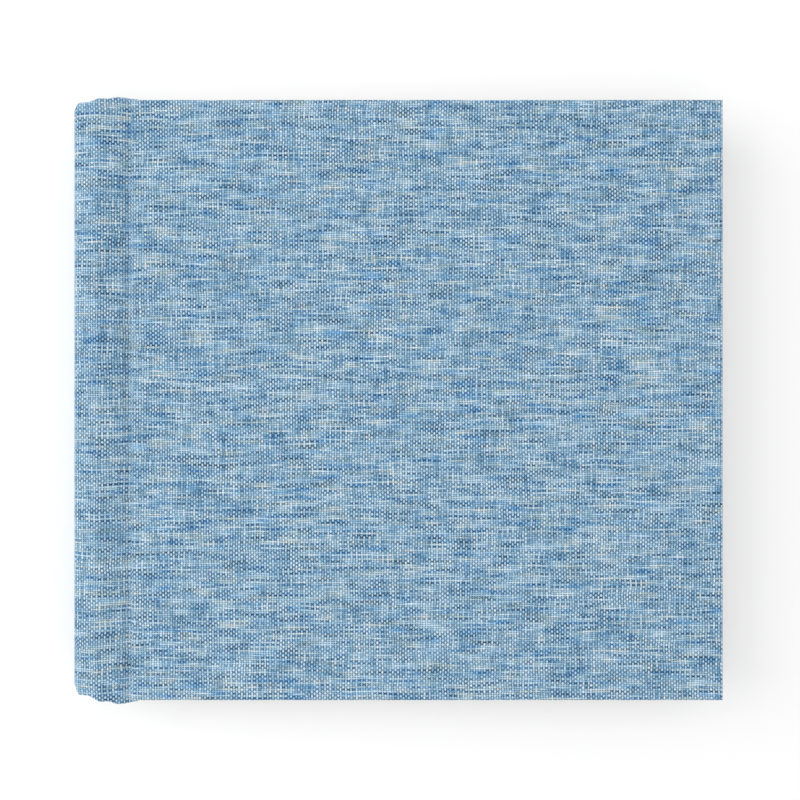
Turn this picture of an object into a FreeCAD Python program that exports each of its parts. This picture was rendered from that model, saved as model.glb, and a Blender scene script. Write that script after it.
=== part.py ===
import FreeCAD, Part
import math
import os

import Sketcher

# Scrapbook album, closed and lying on its back cover: a one-piece cloth case over greyboard, with the
# leaves screwed in between two hinge strips. The front strip falls from the spine's shoulder to the joint.
# Frame: origin under the middle of the album, +X to the fore edge, +Y to the head, +Z out of the front.

SIZES = (
    ("cloth", 0.6, "bookcloth"),
    ("cover_board", 2.4, "greyboard in the covers and hinge strips"),
    ("turn_in", 16, "cloth folded over inside a cover"),
    ("endpaper", 0.3, "paper lining inside a cover"),
    ("endpaper_margin", 4, "cloth left showing round an endpaper"),
    ("paste_gap", 0.4, "round a sheet that is laid inside a turn-in"),
    ("leaf_count", 20, "leaves in the album, an even number"),
    ("leaf_width", 305, "leaf outside the binding"),
    ("leaf_length", 305, "leaf from tail to head"),
    ("leaf_setback", 1, "cover's joint edge to the leaf's crease"),
    ("fore_square", 6, "cover past the leaves at the fore edge"),
    ("head_square", 6.5, "cover past the leaves at head and at tail"),
    ("leaf_card", 0.9, "card of a leaf"),
    ("leaf_film", 0.05, "clear film over each face of a leaf"),
    ("film_margin", 3, "card left bare round the film"),
    ("leaf_gap", 0.18, "air between two leaves"),
    ("closing_gap", 0.3, "air between an endpaper and the nearest leaf"),
    ("joint_gap", 5.5, "flexible joint between hinge strip and cover"),
    ("joint_clearance", 0.2, "joint cloth to the cover that swings"),
    ("groove_depth", 1.6, "joint groove below the cover's face"),
    ("hinge_rim", 0.7, "hinge board left beside a hole for a post head"),
    ("hinge_inset", 3, "hinge board back from the shoulder"),
    ("hinge_edge", 0.5, "hinge board back from the joint"),
    ("strip_sink", 0.2, "joint side of the front hinge strip below the cover's face"),
    ("shoulder_rise", 2.3, "shoulder of the spine above the cover's face"),
    ("spine_reach", 12.4, "spine outside the shoulder"),
    ("spine_flat", 23, "upright part of the spine, corner to corner"),
    ("spine_bend", 9, "bend between facet and upright"),
    ("shoulder_bend", 6, "bend between facet and hinge strip"),
    ("spine_board", 1.2, "flexible board in the spine"),
    ("spine_board_gap", 0.3, "spine board back from the bend of a shoulder"),
    ("spine_lining", 0.3, "kraft paper inside the spine"),
    ("flap", 0.6, "card flap clamped at each end of the stack"),
    ("post_count", 3, "screw posts"),
    ("post_pitch", 108, "from post to post"),
    ("post_width", 5, "barrel of a post"),
    ("post_bore", 3.3, "threaded bore of a barrel"),
    ("post_clearance", 0.3, "hole in a leaf round a barrel"),
    ("post_end", 1, "barrel short of the top flap"),
    ("screw_width", 3, "shank of a screw"),
    ("screw_reach", 12, "shank into the barrel"),
    ("post_head", 7.4, "head of a post or screw"),
    ("head_height", 0.9, "thickness of a head"),
    ("head_clearance", 0.6, "hole in a hinge board round a head"),
    ("slot_width", 1.2, "screwdriver slot"),
    ("slot_depth", 0.4, "screwdriver slot"),
)

BEND_SHARE = 0.48  # of a straight run, the most that the bend at one of its ends may use

doc = FreeCAD.newDocument("album")
sheet = doc.addObject("Spreadsheet::Sheet", "sizes")
for row, (alias, value, note) in enumerate(SIZES, 1):
    sheet.set(f"A{row}", alias)
    sheet.set(f"B{row}", str(value))
    sheet.setAlias(f"B{row}", alias)
    sheet.set(f"C{row}", note)
doc.recompute()

nodes = []


def of(alias):
    """The expression that reads one size from the sheet."""
    return f"<<sizes>>.{alias}"


def size(alias):
    """The value of one size, for a shape or a count that no expression can drive."""
    return float(sheet.get(alias))


# Stations along X and Z, as expressions over the sheet.
COVER_WIDTH = f"({of('leaf_setback')} + {of('leaf_width')} + {of('fore_square')})"
COVER_LENGTH = f"({of('leaf_length')} + 2 * {of('head_square')})"
HEAD_WAY = f"({of('post_head')} + 2 * {of('head_clearance')})"
HINGE_RUN = f"({HEAD_WAY} + 2 * {of('hinge_rim')} + {of('hinge_inset')} + {of('hinge_edge')})"
TOTAL = f"({COVER_WIDTH} + {of('joint_gap')} + {HINGE_RUN} + {of('spine_reach')})"
X_FORE = f"{TOTAL} / 2"
X_COVER = f"({X_FORE} - {COVER_WIDTH})"
X_JOINT = f"({X_COVER} - {of('joint_gap')})"
X_SHOULDER = f"({X_JOINT} - {HINGE_RUN})"
X_BOARD_0 = f"({X_SHOULDER} + {of('hinge_inset')})"
X_BOARD_1 = f"({X_JOINT} - {of('hinge_edge')})"
X_POST = f"(({X_BOARD_0} + {X_BOARD_1}) / 2)"
X_GROOVE = f"({X_JOINT} + {of('joint_gap')} / 2)"
LEAF_PITCH = f"({of('leaf_card')} + 2 * {of('leaf_film')} + {of('leaf_gap')})"
COVER_DEPTH = f"(2 * {of('cloth')} + {of('cover_board')} + {of('endpaper')})"
Z_BLOCK = f"({COVER_DEPTH} + {of('closing_gap')})"
Z_TOP = f"(2 * {Z_BLOCK} + {of('leaf_count')} * {LEAF_PITCH})"
Z_JOINT = f"({Z_TOP} - {of('strip_sink')})"
Z_SHOULDER = f"({Z_TOP} + {of('shoulder_rise')})"
TILT = f"(({of('shoulder_rise')} + {of('strip_sink')}) / {HINGE_RUN})"
SLANT = f"sqrt(1 + {TILT} * {TILT})"
HALF_LENGTH = f"{COVER_LENGTH} / 2"
LEAF_AIR = f"({of('leaf_gap')} / 2 + {of('leaf_film')})"
Z_STACK_0 = f"({Z_BLOCK} + {LEAF_AIR})"
Z_STACK_1 = f"({Z_TOP} - {Z_BLOCK} - {LEAF_AIR})"


def bind(obj, **expressions):
    """Bind properties of an object to expressions; a double underscore stands for a dot."""
    for prop, expression in expressions.items():
        obj.setExpression(prop.replace("__", "."), expression)
    return obj


def label(obj, name):
    """Give an object its node name and list it for export."""
    obj.Label = name
    nodes.append(obj)
    return obj


def box(name, x_span, y_half, z_span):
    """A box between two X and two Z stations, centred on Y."""
    block = doc.addObject("Part::Box", name)
    return bind(
        block,
        Length=f"({x_span[1]}) - ({x_span[0]})",
        Width=f"2 * ({y_half})",
        Height=f"({z_span[1]}) - ({z_span[0]})",
        Placement__Base__x=x_span[0],
        Placement__Base__y=f"-({y_half})",
        Placement__Base__z=z_span[0],
    )


def cylinder(name, width, x_place, y_place, z_span):
    """An upright cylinder of a given diameter."""
    rod = doc.addObject("Part::Cylinder", name)
    return bind(
        rod,
        Radius=f"({width}) / 2",
        Height=f"({z_span[1]}) - ({z_span[0]})",
        Placement__Base__x=x_place,
        Placement__Base__y=y_place,
        Placement__Base__z=z_span[0],
    )


def join(name, pieces):
    """Several touching pieces made one solid."""
    fused = doc.addObject("Part::MultiFuse", name)
    fused.Shapes = pieces
    return fused


def group(name, pieces):
    """Several loose pieces that share a node."""
    compound = doc.addObject("Part::Compound", name)
    compound.Links = pieces
    return compound


def cut(name, base, tool):
    """One piece with another taken out of it."""
    result = doc.addObject("Part::Cut", name)
    result.Base = base
    result.Tool = tool
    return result


def profile_body(name, corners, y_length):
    """A body padded both ways along Y from a closed outline of (x, z) expressions."""
    body = doc.addObject("PartDesign::Body", name)
    sketch = body.newObject("Sketcher::SketchObject", f"{name}_outline")
    plane = next(f for f in body.Origin.OriginFeatures if f.Role == "XZ_Plane")
    sketch.AttachmentSupport = (plane, [""])
    sketch.MapMode = "FlatFace"
    places = [sketch.evalExpression(x) for x, _ in corners], [sketch.evalExpression(z) for _, z in corners]
    points = [FreeCAD.Vector(float(x), float(z), 0) for x, z in zip(*places)]
    count = len(points)
    for i in range(count):
        sketch.addGeometry(Part.LineSegment(points[i], points[(i + 1) % count]), False)
    for i in range(count):
        sketch.addConstraint(Sketcher.Constraint("Coincident", i, 2, (i + 1) % count, 1))
    for i, (x, z) in enumerate(corners):
        for kind, value, expression in (("DistanceX", points[i].x, x), ("DistanceY", points[i].y, z)):
            datum = sketch.addConstraint(Sketcher.Constraint(kind, -1, 1, i, 1, value))
            sketch.setExpression(f"Constraints[{datum}]", expression)
    pad = body.newObject("PartDesign::Pad", f"{name}_pad")
    pad.Profile = sketch
    pad.Midplane = True
    pad.setExpression("Length", y_length)
    body.Tip = pad
    return body


def post_places():
    """The Y expressions of the posts, spaced evenly about the middle."""
    count = int(size("post_count"))
    return [f"{i - (count - 1) / 2} * {of('post_pitch')}" for i in range(count)]


def post_holes(name, width, z_span):
    """The cylinders that clear a way for every post."""
    rods = [cylinder(f"{name}_{i}", width, X_POST, y, z_span) for i, y in enumerate(post_places())]
    return group(name, rods)


# ---- covers -------------------------------------------------------------------------------------


def depth_span(side, outer, inner):
    """Two depths below a cover's outer face, as a Z span."""
    if side == "front":
        return f"{Z_TOP} - ({inner})", f"{Z_TOP} - ({outer})"
    return outer, inner


def build_cover(side):
    """Board, cloth with its turn-ins, filler sheet and endpaper of one cover."""
    cloth, board = of("cloth"), of("cover_board")
    under_board = f"{cloth} + {board}"
    inside = f"2 * {cloth} + {board}"
    board_span = (X_COVER, f"{X_FORE} - {cloth}")
    board_half = f"{HALF_LENGTH} - {cloth}"
    window_span = (X_COVER, f"{X_FORE} - {of('turn_in')}")
    window_half = f"{HALF_LENGTH} - {of('turn_in')}"

    sheet_over = box(f"{side}_wrap", (X_COVER, X_FORE), HALF_LENGTH, depth_span(side, "0", inside))
    pocket = box(f"{side}_pocket", board_span, board_half, depth_span(side, cloth, under_board))
    window = box(f"{side}_window", window_span, window_half, depth_span(side, under_board, inside))
    room = join(f"{side}_room", [pocket, window])
    label(cut(f"{side}_cloth", sheet_over, room), f"{side}_cover_cloth")

    plate = box(f"{side}_board", board_span, board_half, depth_span(side, cloth, under_board))
    label(plate, f"{side}_cover_board")
    gap = of("paste_gap")
    filler_span = (f"{X_COVER} + {gap}", f"{window_span[1]} - {gap}")
    filler = box(
        f"{side}_filler", filler_span, f"{window_half} - {gap}", depth_span(side, under_board, inside)
    )
    label(filler, f"{side}_cover_filler")
    margin = of("endpaper_margin")
    lining = box(
        f"{side}_lining",
        (f"{X_COVER} + {gap}", f"{X_FORE} - {margin}"),
        f"{HALF_LENGTH} - {margin}",
        depth_span(side, inside, COVER_DEPTH),
    )
    label(lining, f"{side}_endpaper")


# ---- spine --------------------------------------------------------------------------------------


def value_of(expression):
    """An expression's number, for the wrapped layers."""
    return float(sheet.evalExpression(expression.replace("<<sizes>>.", "")))


def bend_reach(before, corner, after, radius):
    """How far along its two runs a bend of some radius starts from its corner."""
    return radius * math.tan((corner - before).getAngle(after - corner) / 2)


def rounded_wire(corners, bends):
    """An open path in the XZ plane: straight runs joined by tangent arcs, one radius a corner."""
    edges = []
    start = corners[0]
    for before, corner, after, radius in zip(corners, corners[1:], corners[2:], bends):
        arrive = (corner - before).normalize()
        leave = (after - corner).normalize()
        reach = bend_reach(before, corner, after, radius)
        arc_start = corner - arrive * reach
        arc_end = corner + leave * reach
        centre = corner + (leave - arrive).normalize() * math.hypot(reach, radius)
        arc_middle = centre + (corner - centre).normalize() * radius
        edges.append(Part.LineSegment(start, arc_start).toShape())
        edges.append(Part.Arc(arc_start, arc_middle, arc_end).toShape())
        start = arc_end
    edges.append(Part.LineSegment(start, corners[-1]).toShape())
    return Part.Wire(edges)


def fitting_bends(corners, bends):
    """The bends, each no larger than the runs beside it leave room for."""
    fitted = []
    for before, corner, after, radius in zip(corners, corners[1:], corners[2:], bends):
        room = min((corner - before).Length, (after - corner).Length)
        fitted.append(min(radius, BEND_SHARE * room / bend_reach(before, corner, after, 1)))
    return fitted


def inset_path(corners, bends, inset):
    """The same path moved into the spine by a distance, with its bends that much tighter."""
    normals = []
    for a, b in zip(corners, corners[1:]):
        run = (b - a).normalize()
        normals.append(FreeCAD.Vector(-run.z, 0, run.x))
    moved = [corners[0] + normals[0] * inset]
    for corner, before, after in zip(corners[1:-1], normals, normals[1:]):
        middle = (before + after).normalize()
        moved.append(corner + middle * (inset / middle.dot(before)))
    moved.append(corners[-1] + normals[-1] * inset)
    return rounded_wire(moved, [bend - inset for bend in bends])


def wrapped_layer(name, corners, bends, outer, thickness, short_by):
    """A layer of the spine, between two insets of its outer path, short of each end of the case."""
    outside = inset_path(corners, bends, outer)
    inside = inset_path(corners, bends, outer + thickness)
    ends = [
        Part.LineSegment(outside.OrderedVertexes[i].Point, inside.OrderedVertexes[i].Point).toShape()
        for i in (0, -1)
    ]
    outline = Part.Wire(Part.__sortEdges__(outside.Edges + inside.Edges + ends))
    face = Part.Face(outline)
    length = value_of(COVER_LENGTH) - 2 * short_by
    layer = doc.addObject("Part::Feature", name)
    layer.Shape = face.extrude(FreeCAD.Vector(0, length, 0))
    layer.Placement = FreeCAD.Placement(FreeCAD.Vector(0, -length / 2, 0), FreeCAD.Rotation())
    return layer


def toward(start, end, distance):
    """A point that lies a distance from one corner towards another."""
    return start + (end - start).normalize() * distance


def build_spine():
    """Cloth, flexible board and paper lining, wrapped round the outside of the stack."""
    flat = size("spine_flat")
    shoulder_z = value_of(Z_SHOULDER)
    x_spine = -value_of(TOTAL) / 2
    x_shoulder = value_of(X_SHOULDER)
    x_joint = value_of(X_JOINT)
    joint = FreeCAD.Vector(x_joint, 0, value_of(Z_JOINT))
    shoulder = FreeCAD.Vector(x_shoulder, 0, shoulder_z)
    upper = FreeCAD.Vector(x_spine, 0, (shoulder_z + flat) / 2)
    lower = FreeCAD.Vector(x_spine, 0, (shoulder_z - flat) / 2)
    heel = FreeCAD.Vector(x_shoulder, 0, 0)
    back = FreeCAD.Vector(x_joint, 0, 0)
    bend, shoulder_bend = size("spine_bend"), size("shoulder_bend")
    cloth, board, gap = size("cloth"), size("spine_board"), size("spine_board_gap")

    around = [joint, shoulder, upper, lower, heel, back]
    bends = fitting_bends(around, [shoulder_bend, bend, bend, shoulder_bend])
    facet_bends = bends[1:-1]
    label(wrapped_layer("spine_wrap", around, bends, 0, cloth, 0), "spine_cloth")
    top_gap = bend_reach(joint, shoulder, upper, bends[0]) + gap
    foot_gap = bend_reach(lower, heel, back, bends[-1]) + gap
    facets = [toward(shoulder, upper, top_gap), upper, lower, toward(heel, lower, foot_gap)]
    stiffener = wrapped_layer("spine_stiffener", facets, facet_bends, cloth, board, cloth)
    label(stiffener, "spine_board")
    paper, margin = size("spine_lining"), size("endpaper_margin")
    lining = wrapped_layer("spine_paper", facets, facet_bends, cloth + board, paper, margin)
    label(lining, "spine_lining")


def build_hinges():
    """The two hinge boards and the strips of cloth in the joints."""
    cloth, board = of("cloth"), of("cover_board")
    hinge_half = f"({HALF_LENGTH} - {cloth})"

    def under_strip(x, depth):
        """A depth under the slanting face of the front hinge strip."""
        return x, f"{Z_JOINT} + ({X_JOINT} - {x}) * {TILT} - ({depth}) * {SLANT}"

    slanted = profile_body(
        "front_strip",
        [
            under_strip(X_BOARD_0, cloth),
            under_strip(X_BOARD_1, cloth),
            under_strip(X_BOARD_1, f"{cloth} + {board}"),
            under_strip(X_BOARD_0, f"{cloth} + {board}"),
        ],
        f"2 * {hinge_half}",
    )
    front_way = post_holes("front_strip_way", HEAD_WAY, (Z_STACK_1, Z_SHOULDER))
    label(cut("front_strip_holed", slanted, front_way), "front_hinge_board")
    back_span = (cloth, f"{cloth} + {board}")
    flat = box("back_strip", (X_BOARD_0, X_BOARD_1), hinge_half, back_span)
    back_way = post_holes("back_strip_way", HEAD_WAY, ("0", Z_STACK_0))
    label(cut("back_strip_holed", flat, back_way), "back_hinge_board")

    x_start = f"{X_JOINT} + {cloth} / 2"
    x_end = f"{X_COVER} - {of('joint_clearance')}"
    groove = of("groove_depth")
    front_joint = profile_body(
        "front_joint",
        [
            (x_start, Z_JOINT),
            (X_GROOVE, f"{Z_TOP} - {groove}"),
            (x_end, Z_JOINT),
            (x_end, f"{Z_JOINT} - {cloth}"),
            (X_GROOVE, f"{Z_TOP} - {groove} - {cloth}"),
            (x_start, f"{Z_JOINT} - {cloth}"),
        ],
        COVER_LENGTH,
    )
    label(front_joint, "front_joint_cloth")
    back_joint = profile_body(
        "back_joint",
        [
            (x_start, "0"),
            (X_GROOVE, groove),
            (x_end, of("strip_sink")),
            (x_end, f"{of('strip_sink')} + {cloth}"),
            (X_GROOVE, f"{groove} + {cloth}"),
            (x_start, cloth),
        ],
        COVER_LENGTH,
    )
    label(back_joint, "back_joint_cloth")


# ---- binding stack ------------------------------------------------------------------------------


def build_stack():
    """Bound edges of the leaves, the spacers between them and the flaps that close the stack."""
    count = int(size("leaf_count"))
    hole = f"{of('post_width')} + 2 * {of('post_clearance')}"
    flap = of("flap")
    span = (X_BOARD_0, X_BOARD_1)
    half = f"{of('leaf_length')} / 2"

    strips, spacers = [], []
    for i in range(count):
        low = f"{Z_STACK_0} + {i} * {LEAF_PITCH}"
        high = f"{low} + {of('leaf_card')}"
        strips.append(box(f"strip_{i}", span, half, (low, high)))
        if i:
            below = f"{low} - {LEAF_PITCH} + {of('leaf_card')}"
            spacers.append(box(f"spacer_{i}", span, half, (below, low)))
    flaps = [
        box("flap_back", span, half, (f"{Z_STACK_0} - {flap}", Z_STACK_0)),
        box("flap_front", span, half, (Z_STACK_1, f"{Z_STACK_1} + {flap}")),
    ]
    way = post_holes("stack_way", hole, ("0", Z_SHOULDER))
    for name, pieces in (
        ("leaf_binding_strips", strips),
        ("spacer_strips", spacers),
        ("binding_flaps", flaps),
    ):
        label(cut(f"{name}_holed", group(f"{name}_plain", pieces), way), name)


def build_posts():
    """Screw posts: a headed barrel from the back and a slotted screw from the front, at each hole."""
    flap, head = of("flap"), of("head_height")
    z_back = f"{Z_STACK_0} - {flap}"
    z_front = f"{Z_STACK_1} + {flap}"
    barrels, screws = [], []
    for i, y in enumerate(post_places()):
        barrel_top = f"{z_front} - {of('post_end')}"
        foot = cylinder(f"barrel_head_{i}", of("post_head"), X_POST, y, (f"{z_back} - {head}", z_back))
        tube = cylinder(f"barrel_tube_{i}", of("post_width"), X_POST, y, (z_back, barrel_top))
        bore = cylinder(f"barrel_bore_{i}", of("post_bore"), X_POST, y, (z_back, barrel_top))
        barrels.append(cut(f"barrel_{i}", join(f"barrel_whole_{i}", [foot, tube]), bore))

        top = f"{z_front} + {head}"
        cap = cylinder(f"screw_head_{i}", of("post_head"), X_POST, y, (z_front, top))
        shank_foot = f"{z_front} - {of('screw_reach')}"
        shank = cylinder(f"screw_shank_{i}", of("screw_width"), X_POST, y, (shank_foot, z_front))
        slot = doc.addObject("Part::Box", f"screw_slot_{i}")
        bind(
            slot,
            Length=of("slot_width"),
            Width=of("post_head"),
            Height=of("slot_depth"),
            Placement__Base__x=f"{X_POST} - {of('slot_width')} / 2",
            Placement__Base__y=f"{y} - {of('post_head')} / 2",
            Placement__Base__z=f"{top} - {of('slot_depth')}",
        )
        screws.append(cut(f"screw_{i}", join(f"screw_whole_{i}", [cap, shank]), slot))
    label(group("barrels", barrels), "post_barrels")
    label(group("screws", screws), "post_screws")


# ---- leaves -------------------------------------------------------------------------------------


def build_leaf(number):
    """One leaf outside the binding: its card, and a clear film over each face; leaf 1 is the top one."""
    level = int(size("leaf_count")) - number
    low = f"{Z_STACK_0} + {level} * {LEAF_PITCH}"
    high = f"{low} + {of('leaf_card')}"
    x_crease = f"{X_COVER} + {of('leaf_setback')}"
    x_fore = f"{x_crease} + {of('leaf_width')}"
    half = f"{of('leaf_length')} / 2"
    margin, film = of("film_margin"), of("leaf_film")
    name = f"leaf_{number:02d}"
    label(box(f"{name}_sheet", (x_crease, x_fore), half, (low, high)), f"{name}_card")
    film_span = (f"{x_crease} + {margin}", f"{x_fore} - {margin}")
    film_half = f"{half} - {margin}"
    faces = [
        box(f"{name}_under", film_span, film_half, (f"{low} - {film}", low)),
        box(f"{name}_over", film_span, film_half, (high, f"{high} + {film}")),
    ]
    label(group(f"{name}_faces", faces), f"{name}_films")


def export():
    """Check every object and every node's shape, then write the STEP files."""
    for obj in doc.Objects:
        if {"Invalid", "Error"} & set(obj.State):
            raise RuntimeError(f"{obj.Label} failed: {obj.State}")
    for obj in nodes:
        if obj.Shape.isNull() or not obj.Shape.isValid():
            raise RuntimeError(f"{obj.Label} has no valid shape")
    os.makedirs("parts", exist_ok=True)
    for obj in nodes:
        obj.Shape.exportStep(os.path.join("parts", f"{obj.Label}.step"))


for cover_side in ("front", "back"):
    build_cover(cover_side)
build_spine()
build_hinges()
build_stack()
build_posts()
for leaf_number in range(1, int(size("leaf_count")) + 1):
    build_leaf(leaf_number)
doc.recompute()
export()
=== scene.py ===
"""Scrapbook album: the case cloth, papers, leaves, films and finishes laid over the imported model."""

import logging
import math
from dataclasses import dataclass, field
from enum import Enum

import bpy
import numpy as np
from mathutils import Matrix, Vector


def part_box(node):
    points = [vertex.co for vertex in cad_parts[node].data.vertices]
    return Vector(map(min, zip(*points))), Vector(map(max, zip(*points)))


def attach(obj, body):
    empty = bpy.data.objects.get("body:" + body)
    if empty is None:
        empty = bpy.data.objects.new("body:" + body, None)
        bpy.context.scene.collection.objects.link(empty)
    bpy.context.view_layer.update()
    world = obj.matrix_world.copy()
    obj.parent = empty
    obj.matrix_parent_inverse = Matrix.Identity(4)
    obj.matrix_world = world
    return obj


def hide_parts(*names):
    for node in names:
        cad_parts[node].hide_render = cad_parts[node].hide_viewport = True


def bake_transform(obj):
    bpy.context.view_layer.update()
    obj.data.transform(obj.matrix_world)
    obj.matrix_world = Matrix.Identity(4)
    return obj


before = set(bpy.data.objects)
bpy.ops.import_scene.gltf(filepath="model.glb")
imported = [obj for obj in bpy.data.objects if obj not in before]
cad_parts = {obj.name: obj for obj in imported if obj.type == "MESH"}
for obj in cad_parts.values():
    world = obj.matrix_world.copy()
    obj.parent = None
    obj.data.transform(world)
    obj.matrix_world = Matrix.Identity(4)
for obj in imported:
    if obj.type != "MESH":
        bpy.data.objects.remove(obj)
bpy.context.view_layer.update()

LOG = logging.getLogger("album")
MM = 0.001
LEAF_COUNT = 20
CLOTH_UV = "cloth_metres"
# Half the case's cloth laid flat with its turn-ins: from the spine's middle to past the fore edge, by height.
# Noise and the fraction across a thread both lie about this.
MIDDLE = 0.5

Material = bpy.types.Material
Socket = bpy.types.NodeSocket
Pair = tuple[float, float]
Stops = tuple[tuple[float, str], ...]


# ---- small tools ----


def linear(code: str) -> tuple[float, float, float, float]:
    """Turn an sRGB hex colour into linear light.

    Args:
        code: six hex digits.

    Returns:
        Red, green, blue and an alpha of 1.
    """
    knee, slope, offset, power = 0.04045, 12.92, 0.055, 2.4
    shares = [int(code[i : i + 2], 16) / 255 for i in (0, 2, 4)]
    light = [c / slope if c <= knee else ((c + offset) / (1 + offset)) ** power for c in shares]
    return light[0], light[1], light[2], 1.0


def smooth(value: np.ndarray, low: float, high: float) -> np.ndarray:
    """Rise smoothly from 0 at low to 1 at high.

    Args:
        value: any array.
        low: where the rise starts.
        high: where it ends.

    Returns:
        The eased share, 3t^2 - 2t^3.
    """
    t = np.clip((value - low) / (high - low), 0, 1)
    return t * t * (3 - 2 * t)


def grid_faces(rows: int, columns: int) -> np.ndarray:
    """Quads over a grid whose vertices are stored row by row, facing rows' way cross columns' way.

    Args:
        rows: vertices one way.
        columns: vertices the other way, the faster index.

    Returns:
        An array of four indices a face.
    """
    index = np.arange(rows * columns).reshape(rows, columns)
    quads = np.stack([index[:-1, :-1], index[1:, :-1], index[1:, 1:], index[:-1, 1:]], axis=-1)
    return quads.reshape(-1, 4)


def new_piece(
    name: str,
    points: np.ndarray,
    faces: np.ndarray,
    material: Material,
    uv: np.ndarray | None = None,
    rounded: bool = True,
) -> bpy.types.Object:
    """Make a mesh object from whole arrays, at the origin, unturned and unscaled.

    Args:
        name: the piece's name.
        points: vertices, n by 3, in metres.
        faces: quads, m by 4.
        material: its finish.
        uv: one pair a vertex, in metres of flat cloth.
        rounded: whether it is shaded smooth.

    Returns:
        The linked object.
    """
    mesh = bpy.data.meshes.new(name)
    mesh.from_pydata(points.tolist(), [], faces.tolist())
    mesh.polygons.foreach_set("use_smooth", np.full(len(mesh.polygons), rounded))
    if uv is not None:
        layer = mesh.uv_layers.new(name=CLOTH_UV)
        corner = np.empty(len(mesh.loops), dtype=np.int32)
        mesh.loops.foreach_get("vertex_index", corner)
        layer.data.foreach_set("uv", uv[corner].astype(np.float32).ravel())
    mesh.materials.append(material)
    mesh.validate()
    mesh.update()
    piece = bpy.data.objects.new(name, mesh)
    bpy.context.scene.collection.objects.link(piece)
    return piece


def thicken(piece: bpy.types.Object, thickness: float) -> bpy.types.Object:
    """Give a surface its real thickness, on the side its normals point away from.

    Args:
        piece: an open surface.
        thickness: in metres.

    Returns:
        The same object as a closed shell.
    """
    solid = piece.modifiers.new("thickness", "SOLIDIFY")
    solid.thickness = thickness
    solid.offset = -1
    solid.use_even_offset = False
    shown = piece.evaluated_get(bpy.context.evaluated_depsgraph_get())
    mesh = bpy.data.meshes.new_from_object(shown)
    piece.modifiers.clear()
    piece.data = mesh
    return piece


def slab(over: np.ndarray, under: np.ndarray) -> tuple[np.ndarray, np.ndarray]:
    """Close two facing grids into one solid with four rims.

    Args:
        over: rows by columns by 3, the face whose normals point out by the right-hand rule.
        under: the same grid on the other side.

    Returns:
        Vertices and quads.
    """
    rows, columns = over.shape[:2]
    count = rows * columns
    index = np.arange(count).reshape(rows, columns)
    border = np.concatenate([index[0, :-1], index[:-1, -1], index[-1, :0:-1], index[:0:-1, 0]])
    after = np.roll(border, -1)
    top = grid_faces(rows, columns)
    bottom = top[:, ::-1] + count
    rims = np.stack([border, after, after + count, border + count], axis=-1)
    points = np.concatenate([over.reshape(-1, 3), under.reshape(-1, 3)])
    return points, np.concatenate([top, bottom, rims])


# ---- finishes ----


@dataclass(frozen=True)
class Pattern:
    """Noise over flat cloth: cells in one unit each way, which part of the noise, and how much it counts."""

    wide: float
    tall: float
    draw: float
    share: float
    octaves: float = 2.0


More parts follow.
